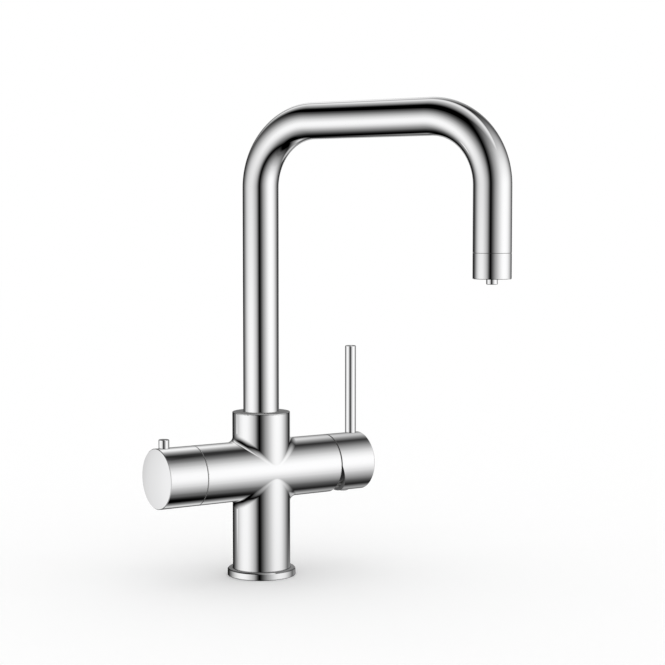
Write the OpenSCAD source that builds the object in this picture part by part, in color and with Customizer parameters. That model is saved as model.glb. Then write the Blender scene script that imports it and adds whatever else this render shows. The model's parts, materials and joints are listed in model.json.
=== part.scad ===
// Boiling water tap: a squared swivelling spout, a boiling water knob with a safety peg, and a
// mixer lever. Millimetres. Z is up from the worktop, X runs along the barrel to the lever's
// end, and the front is towards -Y. The origin is the centre of the base ring's underside.

/* [Upright] */
// Diameter of the upright
body_d = 49.4; // [47:0.2:54]
// Height of the upright's flat top above the worktop
body_top = 140.8; // [138:0.2:160]
// Diameter of the hollow in the upright's foot
core_d = 43; // [40:0.5:43]
// Metal left between the foot's hollow and the underside of the barrel
core_roof = 3.7; // [2:0.1:8]
// Width of the chamfer round the upright's top edge
top_chamfer = 0.5; // [0.2:0.1:1]

/* [Barrel] */
// Diameter of the barrel, the knob and the lever's hub
barrel_d = 50.6; // [48:0.2:56]
// Height of the barrel's axis above the worktop
barrel_z = 91; // [86:0.5:98]
// Distance from the upright's axis to each end of the barrel
barrel_end = 66.5; // [64:0.5:80]
// Radius of the blend where the barrel crosses the upright
blend_r = 7; // [4:0.5:9]

/* [Base ring] */
// Diameter of the base ring
ring_d = 58.4; // [56:0.2:66]
// Height of the base ring
ring_h = 6.2; // [5:0.2:12]
// Diameter of the opening in the base ring
ring_bore = 36; // [32:0.5:37]
// Width of the chamfer round the base ring's upper edge
ring_chamfer = 0.8; // [0.4:0.1:1.2]
// Height of the collar that centres the upright on the base ring
register_h = 4; // [2:0.5:8]
// Thickness of the rubber ring under the base ring
seal_d = 1.9; // [1.5:0.1:2.5]

/* [Inlets] */
// Diameter of the circle on which the inlets and the stud lie
inlet_circle = 20; // [18:0.5:21]
// Diameter of the M10x1 inlet holes
inlet_drill = 9; // [8.5:0.1:9.2]
// Diameter of the M8 stud hole
stud_drill = 6.8; // [6:0.1:8]
// Thickness of the inlet plate
plate_t = 14; // [10:0.5:20]
// Diameter of the waterways that rise in the upright
riser_way_d = 6; // [5.5:0.5:6.5]
// Diameter of the waterways that run across to the cartridge and back from the valve
cross_way_d = 5; // [4.5:0.5:5]
// Height of the hot and cold waterways above the barrel's axis, and of the mixed one below it
gallery_offset = 4.5; // [4:0.5:5.5]
// Metal left between the mixed waterway and the boiling water tube's socket
gallery_wall = 1; // [0.8:0.1:1.2]
// Diameter of the waterways to and from the boiling water valve
boil_way_d = 4; // [3:0.5:4]
// Thickness of the waterway gasket
gasket_t = 1.2; // [0.8:0.1:2]

/* [Spout] */
// Outer diameter of the spout tube
tube_d = 30.5; // [28:0.5:34]
// Wall of the spout tube
tube_wall = 1.5; // [1.2:0.1:2]
// Distance from the upright's axis to the outlet's axis
spout_reach = 221.5; // [180:0.5:260]
// Height of the spout's highest point
spout_top = 401.6; // [376:0.2:440]
// Radius of the spout's two bends, to the tube's axis
bend_r = 54.9; // [40:0.1:70]
// Angle of the spout from straight forward towards the lever, as it stands
spout_rest = 22.7; // [-60:0.1:60]
// Swivel to each side of straight forward
swivel_limit = 90; // [60:5:90]

/* [Spout bearing] */
// Depth of the spout's socket in the upright
socket_depth = 39.8; // [38:0.2:44]
// Step from the tube's bore in to the spigot
spigot_step = 0.75; // [0.5:0.05:1.5]
// Wall of the spigot
spigot_wall = 4.5; // [3.5:0.1:5]
// Length of the spigot inside the tube
spigot_neck = 14; // [10:0.5:20]
// Wall of the plastic bushes
bush_wall = 1.2; // [1:0.1:2]
// Length of each bush
bush_l = 6.5; // [4:0.1:7]
// Height of the gap between the upright's top and the spout tube
spout_gap = 0.3; // [0.2:0.05:0.6]
// Distance from the upright's top down to the grub screw
grub_drop = 11; // [10:0.2:12]
// Diameter of the spout's grub screw
grub_d = 5; // [4:0.5:6]
// Diameter of the grub screw's tip
grub_tip_d = 3.6; // [3:0.1:3.8]
// Depth of the screw's head below the upright's surface
grub_sink = 0.6; // [0.4:0.1:1]
// Depth of the stop groove in the spigot
groove_depth = 1.3; // [1:0.1:1.6]
// Distance from the upright's top down to the upper O-ring
seal_drop = 18; // [17:0.2:20]
// Distance between the two O-rings
seal_pitch = 7.5; // [6:0.5:8]
// Thickness of the O-rings
o_ring_d = 2; // [1.6:0.1:2.4]
// Thickness of the upper bush's flange, which lies in the upright's top
bush_flange_t = 1; // [0.8:0.1:1.5]
// Step from the tube's outside in to the bush's flange
bush_flange_step = 0.4; // [0.3:0.1:0.8]

/* [Outlet] */
// Height of the outlet's lower edge above the worktop
outlet_z = 258.5; // [220:0.5:285]
// Height of the outlet ring
outlet_h = 20.1; // [16:0.1:26]
// Seam between the spout tube and the outlet ring
outlet_seam = 0.2; // [0.1:0.05:0.5]
// Length of the outlet ring's collar inside the tube
outlet_collar = 8; // [5:0.5:12]
// Wall of the outlet ring's lip
outlet_lip = 2.6; // [2.2:0.1:3.2]
// Wall of the outlet ring's collar
collar_wall = 3; // [2.6:0.1:3.6]
// Thickness of the flange inside the outlet ring
outlet_flange = 2; // [1.5:0.1:3]
// Width of the chamfers at the outlet's lower edges
outlet_chamfer = 0.4; // [0.2:0.1:0.6]
// Outer diameter of the boiling water nozzle
nozzle_d = 9.1; // [8.8:0.1:11]
// Length of the nozzle below the outlet ring
nozzle_drop = 4.3; // [2:0.1:8]
// Length of the nozzle above the flow insert
nozzle_tail = 1; // [0.5:0.1:1.5]
// Depth of the boiling water tube's seat in the nozzle
nozzle_socket = 10; // [6:0.5:12]
// Height of the flow insert above the outlet's lower edge
insert_rise = 3.2; // [2:0.1:5]
// Thickness of the seal on top of the flow insert
outlet_seal_t = 1.6; // [1:0.1:2]
// Number of holes in the flow insert
flow_holes = 14; // [8:1:16]
// Diameter of the holes in the flow insert
flow_hole_d = 2; // [1.2:0.1:2.6]
// Number of bars in the flow screen
screen_bars = 24; // [12:2:28]
// Width of the flow screen's bars
screen_bar = 0.5; // [0.4:0.05:0.7]
// Width of the flow screen's hoops
screen_hoop = 1.4; // [1:0.1:1.8]
// Thickness of the flow screen
screen_t = 0.8; // [0.5:0.1:1]

/* [Boiling water tube] */
// Outer diameter of the boiling water tube
hot_tube_d = 8; // [7:0.1:8.2]
// Wall of the boiling water tube
hot_tube_wall = 1; // [0.5:0.1:1.5]
// Depth of the tube's socket below the floor of the spout's socket
hot_socket = 10.5; // [8:0.5:11]
// Distance from the spigot and from the outlet's collar to the tube's spacers
spacer_inset = 12; // [6:1:20]
// Wall of the tube's spacers
spacer_wall = 1.6; // [1:0.1:2.4]
// Width of the arms of the tube's spacers
spacer_arm = 2.4; // [1.6:0.1:4]
// Height of the tube's spacers
spacer_h = 8; // [5:0.5:14]

/* [Boiling water knob] */
// Length of the knob
knob_l = 34.5; // [33:0.5:44]
// Seam between the barrel and the knob
knob_gap = 0.6; // [0.3:0.1:1.2]
// Wall of the knob
knob_wall = 3.3; // [2.5:0.1:4]
// Thickness of the knob's end
knob_end = 3; // [2.5:0.1:4]
// Width of the chamfer round the knob's end face
knob_chamfer = 0.5; // [0.2:0.1:1.2]
// Turn of the knob from closed to open
knob_turn = 90; // [45:5:120]
// Diameter of the socket post inside the knob
post_d = 16.8; // [16:0.2:18]
// Distance from the knob's rim to the post inside it
post_inset = 3.5; // [3:0.5:5]
// Depth of the adapter's socket in the post
adapter_l = 14; // [13:0.5:18]
// Outer diameter of the adapter
adapter_d = 13; // [11:0.2:13.4]

/* [Safety peg] */
// Diameter of the safety peg
peg_d = 8.9; // [7:0.1:10]
// Length of the peg outside the knob
peg_out = 7.2; // [5:0.1:12]
// Length of the peg's thick end inside the knob
peg_in = 1.8; // [1.5:0.1:2]
// Distance from the knob's end face to the peg's axis
peg_inset = 7.2; // [7:0.1:9]
// Press of the peg
peg_travel = 3; // [2:0.1:3.2]
// Width of the chamfer round the peg's top
peg_chamfer = 0.4; // [0.2:0.1:0.8]
// Diameter of the peg's stem
stem_d = 4; // [3:0.1:4.4]
// Reach of the stem into the stop sleeve's slot
stem_reach = 1.2; // [0.8:0.1:1.4]
// Diameter of the clip on the stem
clip_d = 7; // [6:0.1:7.6]
// Thickness of the clip on the stem
clip_t = 0.6; // [0.4:0.1:0.8]
// Depth of the clip's groove in the stem
clip_groove = 0.5; // [0.3:0.1:0.6]
// Mouth of the clip
clip_mouth = 1.4; // [1:0.1:2]
// Thickness of the floor under the peg's spring
peg_floor = 1; // [0.8:0.1:1.2]
// Wall round the peg's bore
peg_boss_wall = 1.9; // [1.2:0.1:2]
// Wire of the peg's spring
spring_wire = 0.5; // [0.3:0.05:0.6]
// Coils of the peg's spring
spring_turns = 3; // [2:0.5:3]

/* [Boiling water valve] */
// Depth of the valve's chamber from the barrel's end
valve_depth = 32.3; // [32:0.1:34]
// Diameter of the valve body's thread
valve_d = 24; // [23:0.2:26]
// Length of the valve body below its hexagon
valve_l = 17.6; // [16:0.1:17.6]
// Width across the flats of the valve's hexagon
valve_af = 27; // [26.5:0.5:30]
// Height of the valve's hexagon
valve_hex = 6; // [4:0.5:7]
// Diameter of the wide mouth of the barrel at the knob's end
mouth_d = 38; // [36:0.5:40]
// Diameter of the valve's ceramic discs
valve_disc_d = 17; // [15:0.2:17.6]
// Thickness of each of the valve's ceramic discs
valve_disc_t = 3; // [2:0.1:3.4]
// Diameter of the two ports in each of the valve's discs
valve_port_d = 4; // [3:0.1:4]
// Distance from the valve's axis to its ports
valve_port_at = 5.2; // [4.8:0.1:5.2]
// Ledge of the valve's seal under the edge of the fixed disc
valve_ledge = 1; // [0.6:0.1:1.2]
// Diameter of the spindle's flange
spindle_flange_d = 11.4; // [11.2:0.1:12]
// Thickness of the spindle's flange
spindle_flange_t = 3; // [2:0.1:3]
// Width of the key that turns the moving disc
key_w = 3; // [2:0.1:4]
// Height of the key
key_h = 0.9; // [0.6:0.1:1.2]
// Distance from the valve's chamber to the spindle's O-ring
spindle_seal_drop = 5; // [4:0.5:6]
// Wall of the valve's neck
valve_neck_wall = 3; // [2:0.1:3.2]
// Length of the valve's neck past the stop sleeve's flange
valve_neck_l = 2; // [1:0.1:2.4]
// Diameter of the valve's spindle
spindle_d = 10; // [9:0.1:10.6]
// Diameter of the spindle's splined end
spline_d = 8; // [7:0.1:8.6]
// Length of the spindle's splined end
spline_l = 15.5; // [12:0.5:17]
// Thickness of the valve's seal
valve_seal_t = 1.2; // [0.8:0.1:1.6]
// Wall of the stop sleeve
sleeve_wall = 2.8; // [2:0.1:3]
// Thickness of the stop sleeve's flange
flange_t = 2; // [1.5:0.1:3]
// Thickness of the nut that holds the stop sleeve
sleeve_nut_t = 5; // [3:0.1:5.5]

/* [Mixer lever] */
// Length of the lever's hub
hub_l = 34.5; // [33:0.5:40]
// Seam between the barrel and the hub
hub_gap = 1; // [0.8:0.1:1.5]
// Wall of the hub's skirt
hub_wall = 3; // [2.5:0.1:3.4]
// Thickness of the hub's solid end
hub_block = 14; // [13:0.2:16]
// Width of the chamfer round the hub's end face
hub_chamfer = 0.8; // [0.2:0.1:1.2]
// Tilt of the lever from closed to full flow
lever_tilt = 20; // [12:1:22]
// Turn of the lever to each side of upright
lever_turn = 45; // [30:5:60]
// Extra angle of the skirt's slanted edge over the tilt
skirt_spare = 1; // [0.5:0.1:3]
// Diameter of the lever's rod
rod_d = 9.6; // [8:0.1:12]
// Length of the lever's rod outside the hub
rod_l = 77.2; // [60:0.1:120]
// Distance from the hub's end face to the rod's axis
rod_inset = 9; // [8:0.1:9.5]
// Depth of the rod's seat in the hub
rod_seat = 2.4; // [2:0.1:4]
// Width of the chamfer round the rod's top
rod_chamfer = 0.5; // [0.2:0.1:1]
// Diameter of the rod's threaded end
rod_stud_d = 6; // [5:0.1:6.5]
// Length of the rod's threaded end
rod_stud_l = 7.5; // [5:0.1:9]
// Diameter of the boss inside the hub
hub_boss_d = 18; // [16:0.5:20]
// Length of the boss inside the hub
hub_boss_l = 11; // [9:0.1:12]
// Diameter of the domed plug under the hub
plug_d = 11; // [9:0.1:12]
// Height of the plug's dome
plug_dome = 1.6; // [0.8:0.1:2]
// Depth of the plug's rim above the hub's lowest line
plug_sink = 0.5; // [0.3:0.1:0.6]
// Ledge that the plug rests on
plug_ledge = 1.5; // [1:0.1:2]
// Thickness of the plug inside the hub's wall
plug_t = 1.9; // [1.5:0.1:2]
// Distance from the hub's end face to the plug's axis
plug_inset = 17; // [16.5:0.1:18]
// Diameter of the screw that clamps the hub to the stem
clamp_d = 5; // [4:0.5:5]

/* [Mixer cartridge] */
// Diameter of the cartridge
cart_d = 35; // [33:0.5:36]
// Distance from the lever's pivot to its ball
ball_arm = 10.4; // [9:0.1:11]
// Diameter of the lever's ball
ball_d = 6; // [5:0.1:6.4]
// Thickness of each of the mixer's ceramic discs
mix_disc_t = 3; // [2.5:0.1:4]
// Diameter of the fixed ceramic disc and of the bore that holds it
mix_disc_d = 25; // [24:0.2:25.4]
// Diameter of the ports in the cartridge's base and seal
base_port_d = 5; // [4:0.5:5.5]
// Diameter of the ports in the fixed ceramic disc
mix_port_d = 2.6; // [2:0.1:2.8]
// Height of the fixed disc's hot and cold ports above the cartridge's axis
mix_port_up = 5; // [4.8:0.1:5.2]
// Distance of those ports to each side of the axis
mix_port_side = 4.2; // [4:0.1:4.4]
// Distance of the fixed disc's mixed port below the axis
mix_port_down = 2.5; // [2:0.1:3]
// Diameter of the hollow under the sliding ceramic disc
mix_hollow_d = 8.5; // [8:0.1:8.8]
// Drop of the hollow's centre below the sliding disc's, with the lever closed
mix_hollow_drop = 1; // [0.8:0.1:1.2]
// Diameter of the sliding ceramic disc
slide_disc_d = 17; // [15:0.2:17.4]
// Thickness of the cartridge's base
cart_base = 2.8; // [2:0.1:4]
// Diameter of the cartridge's neck
neck_d = 29; // [28.6:0.1:29.6]
// Length of the cartridge's neck past the lever's pivot
neck_out = 4.5; // [4:0.1:5]
// Thickness of the rim that keeps the carrier in the neck
neck_rim = 1.2; // [0.8:0.1:1.5]
// Width of the rim that keeps the carrier in the neck
neck_lip = 1; // [0.8:0.1:1.4]
// Width of the carrier's lug that stops the lever's turn
stop_w = 3; // [2:0.1:4]
// Reach of the lug past the carrier's upper edge
stop_reach = 1.6; // [1.2:0.1:1.8]
// Height of the driver's cup past the middle of the lever's ball
cup_lip = 1.6; // [1:0.1:2]
// Floor of the driver's cup
cup_floor = 0.5; // [0.4:0.05:0.5]
// Diameter of the neck behind the lever's ball
ball_neck_d = 3.6; // [3:0.1:4]
// Thickness of the cartridge's nut
cart_nut_t = 6.4; // [5:0.1:8]
// Wall between the cartridge's bore and the thread of its nut
cart_step = 2; // [1.5:0.1:2.2]
// Thickness of the cartridge's seal
cart_seal_t = 0.8; // [0.6:0.1:1.5]
// Diameter of the lever's pivot pin
pin_d = 3; // [2.5:0.1:3.4]
// Diameter of the eye round the pivot pin
eye_d = 9; // [8:0.1:10]
// Room in the carrier's slot above and below the eye
eye_room = 2; // [1.6:0.1:2.4]
// Width of the lever's stem
stem_w = 8.6; // [8:0.1:9]
// Gap between the shroud's dome and the hub's skirt
dome_gap = 1.1; // [0.8:0.1:1.4]
// Wall of the shroud's dome
dome_wall = 2; // [1.2:0.1:2.2]
// Length of the dome past the lever's pivot
dome_l = 11; // [10:0.1:12]
// Depth of the shroud's seat in the barrel's end
dome_seat = 2; // [1.5:0.1:2.5]

/* [Clearances] */
// Radial gap between pieces that are screwed or pressed together
fit = 0.05; // [0.03:0.01:0.1]
// Radial gap of a shaft in its bearing
run = 0.05; // [0.03:0.01:0.1]
// Gap between a seal and what it seals against
seal_gap = 0.08; // [0.05:0.01:0.12]
// Gap between pieces that move past each other
free = 0.4; // [0.3:0.05:0.5]
// Gap past the end of a piece that stops short of its neighbour
end_gap = 0.6; // [0.5:0.05:0.8]
// Gap at the tip of a stop or a screw
tip_gap = 0.3; // [0.2:0.05:0.4]

/* [Hidden] */
$fn = 96;
over = 1; // how far a cutter runs past what it cuts
dome_facets = 12; // facets along the shroud's dome
blend_steps = 6; // facets across the blend of the crossing
blend_turns = 48; // facets of the blend round the upright
blend_bury = 0.06; // how far the blend's edges lie inside the two cylinders
blend_root = 0.6; // the blend's root, as a share of the ball centre's distance
hot = 0; // places on the inlets' circle, a quarter turn apart
stud = 1;
boiling = 2;
cold = 3;

chrome = [0.86, 0.87, 0.89];
brass = [0.80, 0.66, 0.38];
steel = [0.70, 0.72, 0.74];
rubber = [0.10, 0.10, 0.11];
white_plastic = [0.92, 0.92, 0.90];
black_plastic = [0.05, 0.05, 0.06];
ceramic = [0.94, 0.92, 0.86];

// Upright, foot and inlets
body_r = body_d / 2;
barrel_r = barrel_d / 2;
register_top = ring_h + register_h;
plate_top = register_top + plate_t;
core_top = barrel_z - barrel_r - core_roof;
seal_ring_r = (ring_bore + ring_d) / 4;
seal_groove_w = seal_d + 2 * seal_gap;
inlet_r = inlet_circle / 2;
inlet_side = inlet_r * sin(45);
feed_z = barrel_z + gallery_offset;
mixed_z = barrel_z - gallery_offset;
thin_r = min(body_r, barrel_r);
thick_r = max(body_r, barrel_r);

// Spout and its bearing
tube_r = tube_d / 2;
tube_bore_r = tube_r - tube_wall;
spigot_r = tube_bore_r - spigot_step;
spigot_bore_r = spigot_r - spigot_wall;
socket_r = spigot_r + run + bush_wall + fit;
bush_r = socket_r - fit;
bush_flange_r = tube_r - bush_flange_step;
socket_floor = body_top - socket_depth;
tube_z = body_top + spout_gap;
tube_axis_z = spout_top - tube_r;
spigot_z = socket_floor + end_gap;
grub_z = body_top - grub_drop;
groove_r = spigot_r - groove_depth;
grub_tip_r = groove_r + tip_gap;
hot_tube_r = hot_tube_d / 2;
hot_socket_z = socket_floor - hot_socket;
hot_tube_z = hot_socket_z + end_gap;
mixed_x = hot_tube_r + run + gallery_wall + riser_way_d / 2;
return_z = hot_socket_z - over;
o_ring_groove_r = socket_r - o_ring_d - 2 * seal_gap;
o_ring_zs = [body_top - seal_drop, body_top - seal_drop - seal_pitch];

// Outlet
outlet_top = outlet_z + outlet_h;
tube_end_z = outlet_top + outlet_seam;
outlet_bore_r = tube_r - outlet_lip;
nozzle_z = outlet_z - nozzle_drop;
throat_r = tube_bore_r - collar_wall;
insert_z = outlet_z + insert_rise;
insert_top = outlet_top - outlet_flange - outlet_seal_t;
insert_r = outlet_bore_r - fit;
insert_bore_r = nozzle_d / 2 + 2 * fit;
nozzle_r = nozzle_d / 2;
nozzle_top = insert_top + nozzle_tail;
hot_tube_end = nozzle_top - nozzle_socket;

// Knob, peg and valve: distances out from the upright's axis towards -X
knob_rim = barrel_end + knob_gap;
knob_face = knob_rim + knob_l;
knob_floor = knob_face - knob_end;
knob_bore_r = barrel_r - knob_wall;
post_r = post_d / 2;
post_at = knob_rim + post_inset;
peg_x = knob_face - peg_inset;
peg_r = peg_d / 2;
peg_bore_r = peg_r + run;
stem_tip = post_r + end_gap + peg_travel;
sleeve_r = stem_tip + stem_reach;
sleeve_bore_r = sleeve_r - sleeve_wall;
sleeve_tip = knob_floor - end_gap;
clip_at = sleeve_r + free + peg_travel;
floor_at = clip_at + clip_t + run;
spring_at = floor_at + peg_floor;
peg_shoulder = barrel_r - peg_in;
valve_floor = barrel_end - valve_depth;
valve_foot = valve_floor + valve_seal_t;
hex_at = valve_foot + valve_l - valve_seal_t;
flange_at = hex_at + valve_hex;
valve_bore_r = valve_disc_d / 2 + free / 2;
valve_eye_r = valve_disc_d / 2 - valve_ledge;
valve_return_r = valve_d / 2 + fit + gallery_wall + boil_way_d / 2;
valve_feed_y = valve_eye_r - boil_way_d / 2 - end_gap;
spindle_r = spindle_d / 2;
spindle_foot = valve_foot + 2 * valve_disc_t;
chamber_top = spindle_foot + spindle_flange_t + tip_gap;
spindle_seal_at = chamber_top + spindle_seal_drop;
spindle_seal_r = spindle_r + run - seal_gap - o_ring_d / 2;

// Lever and cartridge: distances along X
pivot_x = barrel_end + hub_gap / 2;
hub_rim = barrel_end + hub_gap;
hub_face = hub_rim + hub_l;
hub_floor = hub_face - hub_block;
hub_bore_r = barrel_r - hub_wall;
rod_x = hub_face - rod_inset;
plug_x = hub_face - plug_inset;
dome_r = hub_bore_r - dome_gap;
ball_x = pivot_x - ball_arm;
driver_top = ball_x + cup_lip;
driver_x = ball_x - ball_d / 2 - end_gap;
fixed_disc_x = driver_x - 2 * mix_disc_t;
cart_x = fixed_disc_x - cart_base;
cart_floor = cart_x - cart_seal_t;
cart_r = cart_d / 2;
cart_bore_r = cart_r + fit;
cart_nut_r = cart_r + cart_step;
shoulder_x = barrel_end - dome_seat - tip_gap - cart_nut_t;
neck_r = neck_d / 2;
neck_end = pivot_x + neck_out;
carrier_x = driver_top + free;
carrier_r = mix_disc_d / 2;
carrier_bore_r = carrier_r + run;
carrier_top = neck_end - neck_rim - 2 * run;
carrier_slot = eye_d + 2 * eye_room;
neck_eye_r = carrier_r - neck_lip;
rod_seat_z = barrel_z + barrel_r - rod_seat;
plug_rim_z = barrel_z - barrel_r + plug_sink;
hub_boss_r = hub_boss_d / 2;

// Children stand on the barrel's axis with their Z towards the lever, x from the upright.
module lever_side(x) {
    translate([x, 0, barrel_z]) rotate([0, 90, 0]) children();
}

// Children stand on the barrel's axis with their Z towards the knob's end and their X upwards.
module knob_side(u) {
    translate([-u, 0, barrel_z]) rotate([0, -90, 0]) children();
}

// Children stand over the safety peg's axis, with Z the height above the barrel's axis.
module peg_axis(h) {
    translate([-peg_x, 0, barrel_z + h]) children();
}

// Children are turned so that their X points along the spout.
module spout_turned() {
    rotate([0, 0, spout_rest - 90]) children();
}

// Children stand on the outlet's axis, at the height of the worktop.
module outlet_axis() {
    spout_turned() translate([spout_reach, 0, 0]) children();
}

module pipe(r, bore_r, h) {
    difference() {
        cylinder(r = r, h = h);
        translate([0, 0, -over]) cylinder(r = bore_r, h = h + 2 * over);
    }
}

// Bar of radius r whose upper end has a chamfer of width c.
module chamfered_bar(r, h, c) {
    cylinder(r = r, h = h - c);
    translate([0, 0, h - c]) cylinder(r1 = r, r2 = r - c, h = c);
}

// Rubber ring of thickness d round Z, its section centred on radius r.
module o_ring(r, d) {
    rotate_extrude() translate([r, 0]) circle(d = d, $fn = 48);
}

// Hexagonal bar of width af across its flats.
module hex_bar(af, h) {
    cylinder(d = af / cos(30), h = h, $fn = 6);
}

// Hexagon socket of a grub screw, cut into the end at the origin.
module key_socket(af, depth) {
    translate([0, 0, -over]) hex_bar(af, depth + over);
}

// ---- Upright ----

// The blend is the path of a ball that rolls along the crossing and touches both cylinders.
// The thinner cylinder stands on Z here, and one closed collar lies above the crossing.
function unit(v) = v / norm(v);

// Centre of the rolling ball at angle a round the thinner cylinder.
function ball_centre(a) = let (s = thin_r + blend_r, t = thick_r + blend_r)
    [s * cos(a), s * sin(a), sqrt(max(0, pow(t, 2) - pow(s * sin(a), 2)))];

// Point i of the blend's section: 0 lies on the thinner cylinder, blend_steps on the thicker
// one, with an arc of the ball between them, and the last is the root inside the metal.
function blend_point(a, i) = let (
        c = ball_centre(a),
        to_thin = unit([-c[0], -c[1], 0]),
        to_thick = unit([0, -c[1], -c[2]]),
        arc = acos(to_thin * to_thick),
        k = arc * i / blend_steps,
        dir = (sin(arc - k) * to_thin + sin(k) * to_thick) / sin(arc),
        edge = i == 0 || i == blend_steps ? blend_bury : 0)
    i > blend_steps ? c * blend_root : c + (blend_r + edge) * dir;

module blend_collar() {
    n = blend_steps + 2;
    points = [for (k = [0 : blend_turns - 1], i = [0 : n - 1])
        blend_point((k + 0.5) * 360 / blend_turns, i)];
    faces = [for (k = [0 : blend_turns - 1], i = [0 : n - 1])
        let (j = (k + 1) % blend_turns, m = (i + 1) % n)
            each [[k * n + i, j * n + m, k * n + m], [k * n + i, j * n + i, j * n + m]]];
    polyhedron(points, faces, 4);
}

module blended_crossing() {
    lay = body_d > barrel_d ? 90 : 0;
    for (m = [0, 1]) {
        translate([0, 0, barrel_z]) rotate([0, lay, 0]) mirror([0, 0, m]) blend_collar();
    }
}

// One cylinder for each hole of the inlets' square pattern, from z up to top.
module inlet_holes(d, z, top, which) {
    for (k = which) {
        rotate([0, 0, 45 + 90 * k]) translate([inlet_r, 0, z]) cylinder(d = d, h = top - z);
    }
}

// Bore along the barrel at height z, from x to the cartridge's floor.
module lever_way(x, z) {
    translate([x, 0, z]) rotate([0, 90, 0]) cylinder(d = cross_way_d, h = cart_floor - x + over);
}

// Bore along the barrel towards the knob at height z, from start out to u.
module knob_way(z, start, u) {
    translate([-start, 0, z]) rotate([0, -90, 0]) cylinder(d = boil_way_d, h = u - start);
}

// Hot and cold rise beside the spout's socket and run to the cartridge. Mixed water comes back
// under them and rises into the socket.
module mixer_waterways() {
    inlet_holes(riser_way_d, core_top - over, feed_z, [hot, cold]);
    for (y = [-inlet_side, inlet_side]) {
        translate([0, y, 0]) lever_way(inlet_side, feed_z);
    }
    lever_way(mixed_x, mixed_z);
    translate([mixed_x, 0, mixed_z]) cylinder(d = riser_way_d, h = socket_floor - mixed_z + over);
}

// Boiling water enters the valve through its foot, leaves by the groove round it, and comes
// back to the socket of its own tube.
module boiling_waterways() {
    inlet_holes(riser_way_d, core_top - over, barrel_z, [boiling]);
    translate([0, -valve_feed_y, 0]) knob_way(barrel_z, inlet_side, valve_floor + over);
    knob_side(spindle_foot) cylinder(r = valve_return_r, h = spindle_flange_t);
    translate([0, valve_return_r, 0]) {
        knob_way(return_z, 0, spindle_foot + spindle_flange_t / 2);
    }
    translate([0, 0, return_z]) rotate([-90, 0, 0]) {
        cylinder(d = cross_way_d, h = valve_return_r + cross_way_d / 2);
    }
    translate([0, 0, hot_socket_z]) cylinder(r = hot_tube_r + run, h = hot_socket + over);
}

module body_casting() {
    color(chrome) difference() {
        union() {
            translate([0, 0, ring_h]) chamfered_bar(body_r, body_top - ring_h, top_chamfer);
            lever_side(-barrel_end) cylinder(r = barrel_r, h = 2 * barrel_end);
            blended_crossing();
        }
        translate([0, 0, ring_h - over]) cylinder(d = core_d, h = core_top - ring_h + over);
        translate([0, 0, socket_floor]) cylinder(r = socket_r, h = socket_depth + over);
        translate([0, 0, body_top - bush_flange_t]) {
            cylinder(r = bush_flange_r + fit, h = bush_flange_t + over);
        }
        translate([0, 0, grub_z]) rotate([-90, 0, 0]) cylinder(d = grub_d, h = body_d);
        lever_side(cart_floor) cylinder(r = cart_bore_r, h = barrel_end);
        lever_side(shoulder_x) cylinder(r = cart_nut_r + fit, h = barrel_end);
        lever_side(barrel_end - dome_seat) cylinder(r = dome_r + 2 * fit, h = barrel_end);
        knob_side(valve_floor) cylinder(d = valve_d + 2 * fit, h = barrel_end);
        knob_side(hex_at) cylinder(d = mouth_d, h = barrel_end);
        mixer_waterways();
        boiling_waterways();
    }
}

module base_ring() {
    foot = ring_chamfer / 2;
    color(chrome) difference() {
        union() {
            cylinder(r1 = ring_d / 2 - foot, r2 = ring_d / 2, h = foot);
            translate([0, 0, foot]) chamfered_bar(ring_d / 2, ring_h - foot, ring_chamfer);
            cylinder(d = core_d - 2 * fit, h = register_top);
        }
        translate([0, 0, -over]) cylinder(d = ring_bore, h = register_top + 2 * over);
        translate([0, 0, -over]) {
            pipe(seal_ring_r + seal_groove_w / 2, seal_ring_r - seal_groove_w / 2,
                over + seal_d + seal_gap);
        }
    }
}

module base_seal() {
    color(rubber) translate([0, 0, seal_d / 2]) o_ring(seal_ring_r, seal_d);
}

module inlet_plate() {
    color(brass) difference() {
        translate([0, 0, register_top]) cylinder(d = core_d - 2 * fit, h = plate_t);
        inlet_holes(inlet_drill, register_top - over, plate_top + over, [hot, boiling, cold]);
        inlet_holes(stud_drill, register_top - over, plate_top + over, [stud]);
    }
}

module waterway_core() {
    color(white_plastic) difference() {
        translate([0, 0, plate_top]) {
            cylinder(d = core_d - 2 * fit, h = core_top - gasket_t - plate_top);
        }
        inlet_holes(riser_way_d, plate_top - over, core_top, [hot, boiling, cold]);
    }
}

module waterway_gasket() {
    color(rubber) difference() {
        translate([0, 0, core_top - gasket_t]) cylinder(d = core_d - 2 * fit, h = gasket_t);
        inlet_holes(riser_way_d, core_top - 2 * gasket_t, core_top + over, [hot, boiling, cold]);
    }
}

// ---- Spout bearing ----

module upper_bush() {
    color(white_plastic) difference() {
        union() {
            translate([0, 0, body_top - bush_l]) cylinder(r = bush_r, h = bush_l);
            translate([0, 0, body_top - bush_flange_t]) {
                cylinder(r = bush_flange_r, h = bush_flange_t + spout_gap);
            }
        }
        translate([0, 0, body_top - bush_l - over]) {
            cylinder(r = spigot_r + run, h = bush_l + spout_gap + 2 * over);
        }
    }
}

module lower_bush() {
    color(white_plastic) translate([0, 0, socket_floor]) pipe(bush_r, spigot_r + run, bush_l);
}

// The screw lies along +Y behind the upright, its head just below the surface.
module spout_grub() {
    head_y = body_r - grub_sink;
    color(steel) difference() {
        union() {
            translate([0, socket_r, grub_z]) rotate([-90, 0, 0]) {
                cylinder(r = grub_d / 2 - fit, h = head_y - socket_r);
            }
            translate([0, grub_tip_r, grub_z]) rotate([-90, 0, 0]) {
                cylinder(d = grub_tip_d, h = socket_r - grub_tip_r + fit);
            }
        }
        translate([0, head_y, grub_z]) rotate([90, 0, 0]) key_socket(grub_d / 2, grub_d / 2);
    }
}

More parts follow.
